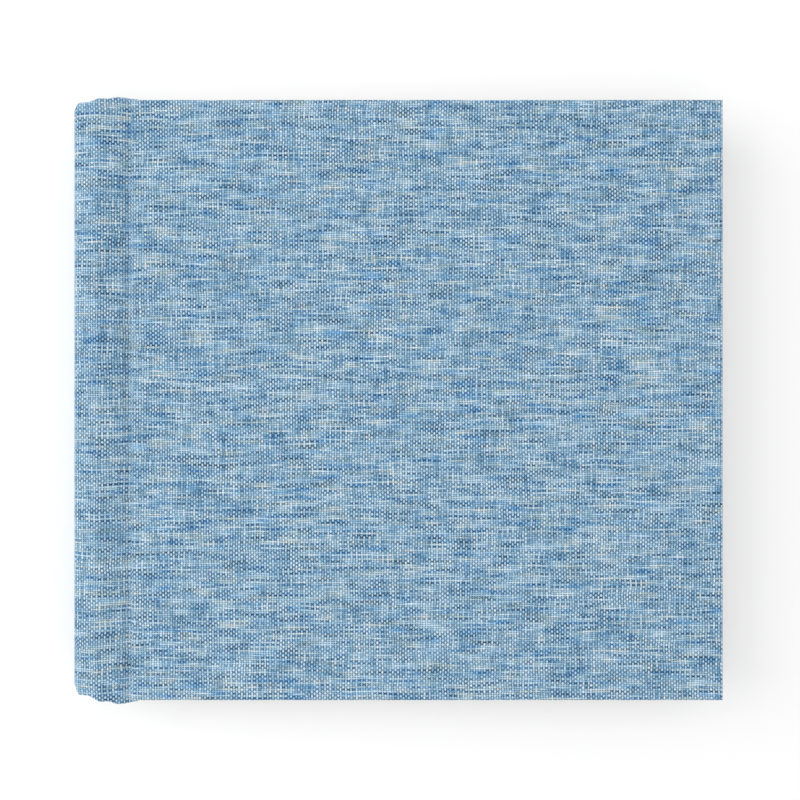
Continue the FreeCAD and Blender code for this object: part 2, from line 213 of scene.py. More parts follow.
class Shader:
    """A material's node tree, with one way to add a node."""

    OCTAVE_SHARE = 0.55

    def __init__(self, name: str) -> None:
        """Start a material with an output and a principled surface.

        Args:
            name: the material and the process that finished it.
        """
        self.material = bpy.data.materials.new(name)
        self.material.use_nodes = True
        self.tree = self.material.node_tree
        self.tree.nodes.clear()
        self.surface = self.add("ShaderNodeBsdfPrincipled")
        self.add("ShaderNodeOutputMaterial", Surface=self.surface.outputs["BSDF"])

    def add(self, kind: str, settings: dict | None = None, **inputs: object) -> bpy.types.Node:
        """Add a node.

        Args:
            kind: the node's type.
            settings: its own properties.
            inputs: values or sockets, by input name with underscores for blanks, or by i0, i1, i2.

        Returns:
            The node.
        """
        node = self.tree.nodes.new(kind)
        for key, value in (settings or {}).items():
            setattr(node, key, value)
        for key, value in inputs.items():
            place = int(key[1:]) if key[0] == "i" and key[1:].isdigit() else key.replace("_", " ")
            socket = node.inputs[place]
            if isinstance(value, Socket):
                self.tree.links.new(value, socket)
            else:
                socket.default_value = value
        return node

    def calc(self, operation: str, *values: object) -> Socket:
        """Add a Math node.

        Args:
            operation: its operation.
            values: up to three numbers or sockets.

        Returns:
            The result.
        """
        inputs = {f"i{i}": value for i, value in enumerate(values)}
        return self.add("ShaderNodeMath", {"operation": operation}, **inputs).outputs[0]

    def noise(self, x: object, y: object, z: object = 0.0, detail: float = 1.0) -> Socket:
        """Smooth noise over three coordinates, with a cell one unit wide.

        Args:
            x: first coordinate.
            y: second coordinate.
            z: third coordinate, for a different draw.
            detail: octaves.

        Returns:
            A value about 0.5.
        """
        place = self.add("ShaderNodeCombineXYZ", X=x, Y=y, Z=z).outputs[0]
        values = {"Scale": 1.0, "Detail": detail, "Roughness": self.OCTAVE_SHARE}
        return self.add("ShaderNodeTexNoise", None, Vector=place, **values).outputs[0]

    def patches(self, x: object, y: object, pattern: Pattern) -> Socket:
        """Noise over flat cloth.

        Args:
            x: first coordinate.
            y: second coordinate.
            pattern: its cells, draw and octaves.

        Returns:
            A value about MIDDLE.
        """
        wide, tall = self.calc("MULTIPLY", x, pattern.wide), self.calc("MULTIPLY", y, pattern.tall)
        return self.noise(wide, tall, pattern.draw, pattern.octaves)

    def grain(self, cells: float, detail: float = 3.0) -> Socket:
        """Noise over the object's own metres.

        Args:
            cells: cells in a metre.
            detail: octaves.

        Returns:
            A value about MIDDLE.
        """
        return self.noise(*(self.calc("MULTIPLY", c, cells) for c in self.object_place()), detail)

    def offset(self, value: object, middle: float, share: float, base: object) -> Socket:
        """Move a base by a share of how far a value lies from its middle.

        Args:
            value: what moves it.
            middle: the value that leaves the base as it is.
            share: how strongly.
            base: what is moved.

        Returns:
            base + share * (value - middle).
        """
        return self.calc("MULTIPLY_ADD", self.calc("SUBTRACT", value, middle), share, base)

    def ease(self, value: object, span: Pair, ends: Pair) -> Socket:
        """Change smoothly from one value to another.

        Args:
            value: what it follows.
            span: where it starts and ends.
            ends: the values there.

        Returns:
            The eased value.
        """
        settings = {"interpolation_type": "SMOOTHSTEP"}
        inputs = {"i0": value, "i1": span[0], "i2": span[1], "i3": ends[0], "i4": ends[1]}
        return self.add("ShaderNodeMapRange", settings, **inputs).outputs[0]

    def constants(self, values: dict[str, object]) -> None:
        """Set what is the same all over the surface.

        Args:
            values: by input name.
        """
        for name, value in values.items():
            self.surface.inputs[name].default_value = value

    def paint(self, colour: Socket) -> None:
        """Colour the surface.

        Args:
            colour: the base colour.
        """
        self.tree.links.new(colour, self.surface.inputs["Base Color"])

    def ramp(self, share: object, stops: Stops) -> Socket:
        """Colours along a ramp.

        Args:
            share: from 0 to 1.
            stops: places and hex colours.

        Returns:
            The colour.
        """
        node = self.add("ShaderNodeValToRGB", None, Fac=share)
        elements = node.color_ramp.elements
        while len(elements) < len(stops):
            elements.new(0.5)
        for element, (place, code) in zip(elements, stops):
            element.position = place
            element.color = linear(code)
        return node.outputs[0]

    def blend_colour(self, mode: str, share: object, first: object, second: object) -> Socket:
        """Mix two colours.

        Args:
            mode: the blend type.
            share: of the second.
            first: a colour.
            second: a colour.

        Returns:
            The mixed colour.
        """
        settings = {"data_type": "RGBA", "blend_type": mode}
        return self.add("ShaderNodeMix", settings, i0=share, i6=first, i7=second).outputs[2]

    def bump(self, height: object, distance: float, strength: float = 1.0) -> None:
        """Raise the surface by a height from 0 to 1.

        Args:
            height: the height socket.
            distance: how much 1 stands for, in metres.
            strength: share of the effect.
        """
        node = self.add("ShaderNodeBump", None, Height=height, Distance=distance, Strength=strength)
        self.tree.links.new(node.outputs[0], self.surface.inputs["Normal"])

    def object_place(self) -> tuple[Socket, ...]:
        """The point shaded, in the object's own metres.

        Returns:
            X, Y and Z.
        """
        place = self.add("ShaderNodeTexCoord").outputs["Object"]
        return tuple(self.add("ShaderNodeSeparateXYZ", None, Vector=place).outputs)


@dataclass(frozen=True)
class BookclothFinish:
    """Plain-woven melange linen, starched and left matt: every thread is drawn over and under.

    Cells are counted in a metre of flat cloth, or in a thread where a pattern goes by thread numbers. The
    draws are far enough apart for no two patterns to repeat each other.
    """

    warp_pitch: float = 1.38 * MM
    weft_pitch: float = 1.13 * MM
    sway: Pattern = Pattern(45.0, 110.0, 3.1, 1.1)
    drift: Pattern = Pattern(90.0, 60.0, 7.7, 1.3)
    warp_width: Pattern = Pattern(7.31, 90.0, 31.0, 0.85, 1.0)
    weft_width: Pattern = Pattern(7.31, 90.0, 57.0, 0.85, 1.0)
    warp_tone: Pattern = Pattern(7.31, 75.0, 40.0, 0.85)
    weft_tone: Pattern = Pattern(7.31, 75.0, 66.0, 1.15)
    slub: Pattern = Pattern(42.0, 0.83, 11.0, 0.95)
    cloud: Pattern = Pattern(45.0, 210.0, 23.0, 0.38, 3.0)
    fibre: Pattern = Pattern(2000.0, 2000.0, 5.0, 0.55)
    dye: Pattern = Pattern(55.0, 300.0, 41.0, 0.5)
    width_middle: float = 0.87
    slub_middle: float = 0.6
    warp_paler: float = 0.1
    ride_middle: float = 0.58
    ride_swing: float = 0.42
    fibre_relief: float = 0.3
    # Painted shade: between these heights the colour in the gaps between threads darkens to these shares.
    gap_heights: Pair = (0.05, 0.72)
    gap_painted_shades: Pair = (0.16, 1.0)
    relief: float = 0.16 * MM
    roughness: float = 0.86
    shine: float = 0.25
    sheen: float = 0.12
    sheen_roughness: float = 0.5
    tones: Stops = (
        (0.02, "1B3B56"),
        (0.25, "3C7099"),
        (0.45, "84AECA"),
        (0.60, "B9D5E7"),
        (0.78, "DCEBF4"),
        (0.98, "F8F9F6"),
    )
    dyes: Stops = (
        (0.26, "B4DEFF"),
        (0.40, "EAF6FF"),
        (0.56, "FFFFFF"),
        (0.70, "FFF6EC"),
    )

    def build(self) -> Material:
        """Make the material over the cloth's own flat coordinates.

        Returns:
            The finished material.
        """
        s = Shader("bookcloth_linen_weave")
        flat = s.add("ShaderNodeUVMap", {"uv_map": CLOTH_UV}).outputs[0]
        x, y, _ = s.add("ShaderNodeSeparateXYZ", None, Vector=flat).outputs
        # Threads wander by up to half a pitch over a few centimetres.
        across, along = s.calc("MULTIPLY", x, 1 / self.warp_pitch), s.calc("MULTIPLY", y, 1 / self.weft_pitch)
        across = s.offset(s.patches(x, y, self.sway), MIDDLE, self.sway.share, across)
        along = s.offset(s.patches(x, y, self.drift), MIDDLE, self.drift.share, along)
        warp, warp_tone, warp_row = self._threads(s, across, y, self.warp_width, self.warp_tone)
        weft, weft_tone, weft_row = self._threads(s, along, x, self.weft_width, self.weft_tone)
        warp_height = s.calc("MULTIPLY", warp, self._wave(s, warp_row, along, self.ride_swing))
        weft_height = s.calc("MULTIPLY", weft, self._wave(s, weft_row, across, -self.ride_swing))
        warp_over = s.calc("GREATER_THAN", warp_height, weft_height)
        height = s.calc("MAXIMUM", warp_height, weft_height)

        # Slubs: weft yarn runs darker for one to three centimetres; the warp is paler and evener.
        slub = s.patches(x, weft_row, self.slub)
        weft_tone = s.offset(slub, self.slub_middle, self.slub.share, weft_tone)
        warp_tone = s.calc("ADD", warp_tone, self.warp_paler)
        mix = s.add("ShaderNodeMix", {"data_type": "FLOAT"}, i0=warp_over, i2=weft_tone, i3=warp_tone)
        # Cloudy patches where the yarns happen to run pale or dark together, and single fibres.
        tone = s.offset(s.patches(x, y, self.cloud), MIDDLE, self.cloud.share, mix.outputs[0])
        fibre = s.patches(x, y, self.fibre)
        tone = s.offset(fibre, MIDDLE, self.fibre.share, tone)
        # The yarns were dyed unevenly: azure in some short runs and a warm undyed white in others.
        dye = s.offset(slub, MIDDLE, self.dye.share, s.patches(x, y, self.dye))
        colour = s.blend_colour("MULTIPLY", 1.0, s.ramp(tone, self.tones), s.ramp(dye, self.dyes))
        # Painted shade: colour is darkened in the gaps between threads, where the relief lies low.
        colour = s.blend_colour("MULTIPLY", 1.0, colour, s.ease(height, self.gap_heights, self.gap_painted_shades))
        s.paint(colour)
        s.constants(
            {
                "Roughness": self.roughness,
                "Specular IOR Level": self.shine,
                "Sheen Weight": self.sheen,
                "Sheen Roughness": self.sheen_roughness,
            }
        )
        s.bump(s.offset(fibre, MIDDLE, self.fibre_relief, height), self.relief)
        return s.material

    def _threads(
        self, s: Shader, place: Socket, along: Socket, widths: Pattern, tones: Pattern
    ) -> tuple[Socket, ...]:
        """One set of parallel threads, each with its own width and tone that change slowly along it.

        The section is 1 - (2c / w)^2, with c the distance from the thread's middle and w its width.

        Args:
            s: the shader.
            place: position across the threads, in pitches.
            along: position along them, in metres.
            widths: how their widths differ.
            tones: how their tones differ.

        Returns:
            Section height, tone and the thread's number.
        """
        row = s.calc("FLOOR", place)
        share = s.calc("SUBTRACT", s.calc("FRACT", place), MIDDLE)
        width = s.offset(s.patches(row, along, widths), MIDDLE, widths.share, self.width_middle)
        ratio = s.calc("DIVIDE", s.calc("MULTIPLY", share, 2.0), width)
        section = s.calc("MAXIMUM", s.calc("SUBTRACT", 1.0, s.calc("MULTIPLY", ratio, ratio)), 0.0)
        return section, s.offset(s.patches(row, along, tones), MIDDLE, tones.share, MIDDLE), row

    def _wave(
        self, s: Shader, row: Socket, other: Socket, swing: float
    ) -> Socket:
        """How high a thread rides: over one crossing thread and under the next.

        Args:
            s: the shader.
            row: the thread's number, whose parity sets the phase.
            other: position across the crossing threads, in pitches.
            swing: half the rise, negative for the other set.

        Returns:
            A height about ride_middle.
        """
        parity = s.calc("COSINE", s.calc("MULTIPLY", row, math.pi))
        turn = s.calc("COSINE", s.calc("MULTIPLY", s.calc("SUBTRACT", other, MIDDLE), math.pi))
        return s.calc("MULTIPLY_ADD", s.calc("MULTIPLY", parity, turn), swing, self.ride_middle)


@dataclass(frozen=True)
class PaperFinish:
    """Uncoated sheet: a flat colour with faint cloudiness and a fine tooth."""

    name: str
    colour: str
    shade: str
    roughness: float = 0.8
    grain: float = 900.0
    tooth: float = 0.02 * MM
    cloud: float = 60.0
    grain_share: float = 0.5
    shine: float = 0.3
    spread: Pair = (0.3, 0.62)

    def build(self) -> Material:
        """Make the material over object metres.

        Returns:
            The finished material.
        """
        s = Shader(self.name)
        fine = s.grain(self.grain)
        soft = s.calc("MULTIPLY", s.grain(self.cloud), 1 - self.grain_share)
        both = s.calc("MULTIPLY_ADD", fine, self.grain_share, soft)
        s.paint(s.ramp(both, ((self.spread[0], self.shade), (self.spread[1], self.colour))))
        s.constants({"Roughness": self.roughness, "Specular IOR Level": self.shine})
        s.bump(fine, self.tooth)
        return s.material


@dataclass(frozen=True)
class AdhesiveCardFinish:
    """White card of a leaf, printed with narrow ribs of low-tack adhesive that shine a little."""

    rib_pitch: float = 6.0 * MM
    rib_share: float = 0.16
    rib_colour: str = "E4DFCC"
    rib_cover: float = 0.3
    rib_shine: float = 0.3
    roughness: float = 0.75
    grain: float = 1100.0
    grain_relief: float = 0.3
    relief: float = 0.03 * MM
    tones: Stops = ((0.3, "E4E1D9"), (0.7, "F2F0E9"))

    def build(self) -> Material:
        """Make the material over object metres.

        Returns:
            The finished material.
        """
        s = Shader("white_card_with_adhesive_ribs")
        _, y, _ = s.object_place()
        fine = s.grain(self.grain)
        place = s.calc("FRACT", s.calc("MULTIPLY", y, 1 / self.rib_pitch))
        place = s.calc("ABSOLUTE", s.calc("SUBTRACT", place, MIDDLE))
        rib = s.ease(place, (self.rib_share / 2, self.rib_share), (1.0, 0.0))
        cover = s.calc("MULTIPLY", rib, self.rib_cover)
        s.paint(s.blend_colour("MIX", cover, s.ramp(fine, self.tones), linear(self.rib_colour)))
        rough = s.calc("MULTIPLY_ADD", rib, -self.rib_shine, self.roughness)
        s.tree.links.new(rough, s.surface.inputs["Roughness"])
        s.bump(s.calc("MULTIPLY_ADD", fine, self.grain_relief, rib), self.relief)
        return s.material


@dataclass(frozen=True)
class FilmFinish:
    """Clear cast polypropylene: almost all seen through, with a smooth shine."""

    colour: str = "F4F7F8"
    clearness: float = 0.14
    roughness: float = 0.09
    refraction: float = 1.49
    coat: float = 0.4
    ripple_cells: float = 28.0
    ripple: float = 0.4 * MM
    ripple_share: float = 0.3

    def build(self) -> Material:
        """Make the material.

        Returns:
            The finished material.
        """
        s = Shader("clear_polypropylene_film")
        s.constants(
            {
                "Base Color": linear(self.colour),
                "Roughness": self.roughness,
                "IOR": self.refraction,
                "Alpha": self.clearness,
                "Coat Weight": self.coat,
            }
        )
        s.bump(s.grain(self.ripple_cells, 2.0), self.ripple, self.ripple_share)
        return s.material


@dataclass(frozen=True)
class AluminiumFinish:
    """Turned aluminium: fine rings from the tool and a satin shine."""

    turn_pitch: float = 0.25 * MM
    ring_depth: float = 0.01 * MM
    wear_cells: float = 700.0
    roughness: float = 0.34
    tones: Stops = ((0.3, "B9BABD"), (0.7, "D2D3D5"))

    def build(self) -> Material:
        """Make the material over object metres.

        Returns:
            The finished material.
        """
        s = Shader("turned_aluminium")
        _, _, z = s.object_place()
        ring = s.calc("SINE", s.calc("MULTIPLY", z, 2 * math.pi / self.turn_pitch))
        s.paint(s.ramp(s.grain(self.wear_cells), self.tones))
        s.constants({"Metallic": 1.0, "Roughness": self.roughness})
        s.bump(ring, self.ring_depth)
        return s.material


@dataclass(frozen=True)
class Finishes:
    """Every finish of the album, made once."""

    bookcloth: Material = field(default_factory=BookclothFinish().build)
    endpaper: Material = field(
        default_factory=PaperFinish("endpaper_smooth_wove", "F2EDE0", "EAE4D5", 0.72).build
    )
    card: Material = field(
        default_factory=PaperFinish("white_card_guillotined", "F2F0E9", "E4E1D9", 0.8).build
    )
    leaf_card: Material = field(default_factory=AdhesiveCardFinish().build)
    greyboard: Material = field(
        default_factory=PaperFinish("greyboard_rolled", "A9A49B", "8F8A82", 0.9, 500.0, 0.06 * MM).build
    )
    kraft: Material = field(
        default_factory=PaperFinish("kraft_paper_machine_glazed", "B79A72", "A08460", 0.7, 600.0).build
    )
    film: Material = field(default_factory=FilmFinish().build)
    aluminium: Material = field(default_factory=AluminiumFinish().build)


# ---- the case's section ----


class Side(Enum):
    """Which cover a piece of the case belongs to."""

    FRONT = "front"
    BACK = "back"


@dataclass(frozen=True)
class Corner:
    """One corner of a section's outline: its place and the radius of its bend."""

    x: float
    z: float
    bend: float = 0.0

    def moved(self, x: float, z: float) -> "Corner":
        """The same corner seen from another origin.

        Args:
            x: where its own origin lies.
            z: and how high.

        Returns:
            The corner.
        """
        return Corner(x + self.x, z + self.z, self.bend)


def filleted(corners: list[Corner], step: float) -> np.ndarray:
    """Sample a path of straight runs joined by tangent arcs.

    An arc of radius r starts r tan(a / 2) before its corner, where a is the angle that the path turns.

    Args:
        corners: the corners in order.
        step: distance between samples.

    Returns:
        Points, n by 2.
    """
    places = [np.array([c.x, c.z]) for c in corners]
    path = [places[0]]
    for before, here, after, corner in zip(places, places[1:], places[2:], corners[1:]):
        arrive = (here - before) / np.linalg.norm(here - before)
        leave = (after - here) / np.linalg.norm(after - here)
        turn = math.acos(float(np.clip(arrive @ leave, -1, 1)))
        reach = corner.bend * math.tan(turn / 2)
        start, end = here - arrive * reach, here + leave * reach
        inward = (leave - arrive) / np.linalg.norm(leave - arrive)
        centre = here + inward * math.hypot(reach, corner.bend)
        count = max(3, int(corner.bend * turn / step))
        for share in np.linspace(0, 1, count):
            way = (start - centre) * (1 - share) + (end - centre) * share
            path.append(centre + way / np.linalg.norm(way) * corner.bend)
    path.append(places[-1])
    return np.array(path)


@dataclass(frozen=True)
class EndShape:
    """How head or tail leaves a straight cut: drawn in at the spine, rounded behind it, out at the joint."""

    drawn: float
    rounding: float
    ear: float


# Corners off the cover's face: at the spine, with no x; then shoulder, foot of the strip, bottom of the
# groove and edge of the cover, by how far past the cover's edge they are.
OUTLINES = {
    Side.FRONT: (
        Corner(0.0, 0.5 * MM, 5.5 * MM),
        Corner(-18.2 * MM, 3.3 * MM, 4.5 * MM),
        Corner(-6.4 * MM, 0.05 * MM, 9.0 * MM),
        Corner(-2.3 * MM, -2.2 * MM, 0.8 * MM),
        Corner(-0.1 * MM, 0.0, 0.9 * MM),
    ),
    Side.BACK: (
        Corner(0.0, 5.2 * MM, 5.0 * MM),
        Corner(-19.0 * MM, 0.0, 5.5 * MM),
        Corner(-5.4 * MM, 0.0, 1.2 * MM),
        Corner(-2.75 * MM, 1.6 * MM, 1.6 * MM),
        Corner(0.0, 0.0, 1.2 * MM),
    ),
}
HEAD = EndShape(drawn=1.9 * MM, rounding=2.6 * MM, ear=1.4 * MM)
TAIL = EndShape(drawn=3.2 * MM, rounding=4.2 * MM, ear=2.0 * MM)


@dataclass
class CaseSection:
    """The section of one half of the case, from the middle of the spine to the fore edge.

    Lengths are taken along the cloth's outer face. From the spine the cloth turns over the shoulder,
    runs down the hinge strip, dips into the joint and lies flat on the cover. A pair of places past the
    cover's edge says where something starts and ends.
    """

    side: Side
    spine_x: float
    middle_z: float
    cover_x: float
    fore_x: float
    face_z: float
    half_length: float
    flat_past: float = 2.5 * MM
    step: float = 0.1 * MM
    nudge: float = 0.3 * MM
    same_place: float = 1e-7
    strip_start: Pair = (-19.0 * MM, -16.5 * MM)
    strip_end: Pair = (-6.6 * MM, -5.0 * MM)
    cover_start: Pair = (-1.6 * MM, 0.2 * MM)
    spine_end: Pair = (-18.5 * MM, -16.5 * MM)
    drawn_end: Pair = (-24.0 * MM, -15.5 * MM)
    rounded_end: Pair = (-31.4 * MM, -27.6 * MM)
    cloth_depth: float = 1.25 * MM
    spine_depth: float = 1.25 * MM
    board_depth: float = 2.35 * MM
    ear_past: float = -5.6 * MM
    ear_width: float = 5.4 * MM
    ear_power: int = 4

    def __post_init__(self) -> None:
        """Sample the outline and measure it."""
        path = filleted(self._corners(), self.step)
        steps = np.linalg.norm(np.diff(path, axis=0), axis=1)
        self.path = path[np.concatenate([[True], steps > self.same_place])]
        steps = np.linalg.norm(np.diff(self.path, axis=0), axis=1)
        self.lengths = np.concatenate([[0.0], np.cumsum(steps)])
        self.end = float(self.lengths[-1])
        self.flat_x = self.cover_x + self.flat_past
        self.flat_start = self.length_at(self.flat_x)
        self.sign = 1 if self.side is Side.FRONT else -1

    def _corners(self) -> list[Corner]:
        """The corners of the outline.

        Returns:
            The corners, from the spine's middle to the fore edge.
        """
        spine, *turns = OUTLINES[self.side]
        return [
            Corner(self.spine_x, self.middle_z),
            spine.moved(self.spine_x, self.face_z),
            *(turn.moved(self.cover_x, self.face_z) for turn in turns),
            Corner(self.fore_x, self.face_z),
        ]

    def length_at(self, x: float) -> float:
        """The length along the cloth at a place past the joint or on the strip.

        Args:
            x: the place.

        Returns:
            The length from the spine's middle.
        """
        return float(np.interp(x, np.maximum.accumulate(self.path[:, 0]), self.lengths))

    def _place(self, length: np.ndarray) -> np.ndarray:
        """Places on the outer face, clipped to its ends.

        Args:
            length: lengths from the spine's middle.

        Returns:
            Points, 2 by n.
        """
        inside = np.clip(length, 0, self.end)
        return np.array([np.interp(inside, self.lengths, self.path[:, axis]) for axis in (0, 1)])

    def point(self, length: np.ndarray) -> tuple[np.ndarray, np.ndarray]:
        """Places on the outer face and the directions that point out of it.

        Args:
            length: lengths from the spine's middle.

        Returns:
            Points and unit normals, each n by 2 in X and Z.
        """
        run_x, run_z = self._place(length + self.nudge) - self._place(length - self.nudge)
        normals = np.stack([-run_z, run_x], axis=-1) / np.hypot(run_x, run_z)[:, None] * self.sign
        return self._place(length).T, normals

    def past(self, length: np.ndarray) -> np.ndarray:
        """How far past the cover's edge at the joint each length lies.

        Args:
            length: lengths from the spine's middle.

        Returns:
            Distances, negative on the joint, the strip and the spine.
        """
        return self._place(length)[0] - self.cover_x

    def depth(self, length: np.ndarray) -> np.ndarray:
        """Thickness of the case, cloth to cloth, at each length: spine, strip, joint and cover.

        Args:
            length: lengths from the spine's middle.

        Returns:
            Thicknesses.
        """
        past = self.past(length)
        strip = smooth(past, *self.strip_start) - smooth(past, *self.strip_end)
        board = strip + smooth(past, *self.cover_start)
        spine = 1 - smooth(past, *self.spine_end)
        return self.cloth_depth + self.spine_depth * spine + self.board_depth * board

    def reach(self, length: np.ndarray, end: EndShape) -> np.ndarray:
        """Half length of the case at head or tail.

        The spine's ends are drawn in, more at the tail, and round off to its back; at the joint the doubled
        turn-in stands out as an ear.

        Args:
            length: lengths from the spine's middle.
            end: head or tail.

        Returns:
            Distances from the middle.
        """
        past = self.past(length)
        spine = 1 - smooth(past, *self.drawn_end)
        back = 1 - smooth(past, *self.rounded_end)
        ear = np.exp(-(((past - self.ear_past) / self.ear_width) ** self.ear_power))
        return self.half_length - end.drawn * spine - end.rounding * back * back + end.ear * ear


# ---- the case ----


@dataclass
class CaseCloth:
    """One half of the case's cloth: an outer face with turn-ins folded round head, tail and fore edge."""

    section: CaseSection
    finish: Material
    thickness: float = 0.55 * MM
    turn_in: float = 16.0 * MM
    edge_bend: float = 0.95 * MM
    fine_step: float = 0.6 * MM
    flat_step: float = 5.5 * MM
    rows: int = 73
    crowding: float = 0.46 * math.pi
    edge_segments: int = 5
    bend_share: float = 0.45
    fold_shares: tuple[float, ...] = (0.25, 0.6, 1.0)

    def _outer(self) -> tuple[np.ndarray, np.ndarray, np.ndarray]:
        """The outer face, short of each edge by the edge's bend.

        Returns:
            Stations along the section, the grid of points and its flat coordinates.
        """
        section = self.section
        near = np.linspace(0, section.flat_start, int(section.flat_start / self.fine_step))
        last = section.end - self.edge_bend
        far = np.linspace(section.flat_start, last, int((last - section.flat_start) / self.flat_step))
        stations = np.concatenate([near, far[1:]])
        bend = self._bend(stations)
        head = section.reach(stations, HEAD) - bend
        tail = section.reach(stations, TAIL) - bend
        share = np.sin(np.linspace(-1, 1, self.rows) * self.crowding) / math.sin(self.crowding)
        y = np.where(share > 0, share * head[:, None], share * tail[:, None])
        place, _ = section.point(stations)
        x = np.repeat(place[:, :1], self.rows, axis=1)
        z = np.repeat(place[:, 1:], self.rows, axis=1)
        # Flat lengths run away from the spine's middle, one way for each cover.
        flat = np.stack([np.repeat(stations[:, None], self.rows, axis=1) * section.sign, y], axis=-1)
        return stations, np.stack([x, y, z], axis=-1), flat

    def _bend(self, stations: np.ndarray) -> np.ndarray:
        """Radius of the edges: full on board, tighter where only cloth is folded.

        Args:
            stations: lengths along the section.

        Returns:
            Radii.
        """
        return np.minimum(self.edge_bend, self.bend_share * self.section.depth(stations))

    def _edge(self, depth: np.ndarray, bend: np.ndarray) -> tuple[np.ndarray, np.ndarray, np.ndarray]:
        """The path of a turn-in: a quarter round, down the side, a quarter round, then in under the board.

        Args:
            depth: case thickness at each border vertex.
            bend: edge radius there.

        Returns:
            Distance out of the edge, depth below the outer face, and length along the fold.
        """
        quarter = np.linspace(0, math.pi / 2, self.edge_segments + 1)[1:, None]
        fold = np.array(self.fold_shares)[:, None]
        still = np.zeros((1, len(bend)))
        out = np.concatenate(
            [
                bend * (np.sin(quarter) - 1),
                still,
                bend * (np.cos(quarter) - 1),
                -bend - (self.turn_in - bend) * fold,
            ]
        )
        down = np.concatenate(
            [
                bend * (1 - np.cos(quarter)),
                depth - bend + still,
                depth - bend * (1 - np.sin(quarter)),
                depth + 0 * fold,
            ]
        )
        first = np.hypot(out[:1] + bend, down[:1])
        runs = np.hypot(np.diff(out, axis=0), np.diff(down, axis=0))
        length = np.cumsum(np.concatenate([first, runs]), axis=0)
        return out, down, length

    def build(self) -> bpy.types.Object:
        """Make the cloth and give it its thickness.

        Returns:
            The piece.
        """
        section = self.section
        stations, face, flat = self._outer()
        columns = len(stations)
        index = np.arange(face.shape[0] * face.shape[1]).reshape(face.shape[:2])
        border = np.concatenate([index[:, 0], index[-1, 1:-1], index[::-1, -1]])
        on_tail = np.arange(len(border)) < columns
        on_head = np.arange(len(border)) >= len(border) - columns
        on_fore = np.zeros(len(border), bool)
        on_fore[columns - 1 : len(border) - columns + 1] = True
        at = np.concatenate([stations, np.full(self.rows - 2, stations[-1]), stations[::-1]])
        start = face.reshape(-1, 3)[border]
        start_flat = flat.reshape(-1, 2)[border]
        _, normals = section.point(at)
        bend = self._bend(at)
        out, down, run = self._edge(section.depth(at), bend)
        flat_x = section.flat_x
        last_x = section.fore_x - self.edge_bend
        half_head = section.reach(at, HEAD)
        half_tail = section.reach(at, TAIL)
        rings, ring_flats = [], []
        for n, d, length in zip(out, down, run):
            x = start[:, 0].copy()
            y = start[:, 1].copy()
            beyond = x > flat_x
            share = (section.fore_x + n - flat_x) / (last_x - flat_x)
            x[beyond] = flat_x + (x[beyond] - flat_x) * share[beyond]
            x[on_fore] = section.fore_x + n[on_fore]
            reach_y = half_head + n
            y[on_fore] = start[on_fore, 1] * (reach_y[on_fore] / (half_head[on_fore] - bend[on_fore]))
            y[on_tail] = -(half_tail + n)[on_tail]
            y[on_head] = reach_y[on_head]
            rings.append(np.stack([x - normals[:, 0] * d, y, start[:, 2] - normals[:, 1] * d], axis=-1))
            u = start_flat[:, 0] + np.where(on_fore, length, 0) * section.sign
            v = start_flat[:, 1] + np.where(on_head, length, 0) - np.where(on_tail, length, 0)
            ring_flats.append(np.stack([u, v], axis=-1))
        points = np.concatenate([face.reshape(-1, 3)] + rings)
        flats = np.concatenate([flat.reshape(-1, 2)] + ring_flats)
        faces = [grid_faces(columns, self.rows)]
        before = border
        for number in range(len(rings)):
            here = index.size + number * len(border) + np.arange(len(border))
            faces.append(np.stack([before[:-1], before[1:], here[1:], here[:-1]], axis=-1)[:, ::-1])
            before = here
        quads = np.concatenate(faces)
        if section.side is Side.BACK:
            quads = quads[:, ::-1]
        name = f"{section.side.value}_case_cloth"
        piece = new_piece(name, points, quads, self.finish, flats)
        return thicken(piece, self.thickness)


@dataclass
class SpineLayer:
    """A layer inside the spine, between two depths below the cloth's outer face."""

    name: str
    sections: tuple[CaseSection, CaseSection]
    near: float
    far: float
    short_by: float
    finish: Material
    before_joint: float = 20.2 * MM
    round_count: int = 40
    long_count: int = 24

    def build(self) -> bpy.types.Object:
        """Make the layer from one shoulder round to the other.

        Returns:
            The piece.
        """
        rims = []
        for section in self.sections:
            stop = section.length_at(section.cover_x - self.before_joint)
            stations = np.linspace(0, stop, self.round_count)
            place, normals = section.point(stations)
            rims.append((place, normals, section.reach(stations, HEAD), section.reach(stations, TAIL)))
        front, back = rims
        joined = [np.concatenate([b[::-1], f[1:]]) for f, b in zip(front, back)]
        place, normals, head, tail = joined
        share = np.linspace(0, 1, self.long_count)
        y = -(tail - self.short_by)[:, None] * (1 - share) + (head - self.short_by)[:, None] * share

        def at(depth: float) -> np.ndarray:
            """The layer's grid at one depth.

            Args:
                depth: below the cloth's outer face.

            Returns:
                Points, rows by columns by 3.
            """
            x = place[:, :1] - normals[:, :1] * depth + 0 * y
            z = place[:, 1:] - normals[:, 1:] * depth + 0 * y
            return np.stack([x, y, z], axis=-1)

        points, quads = slab(at(self.near), at(self.far))
        return new_piece(self.name, points, quads, self.finish)


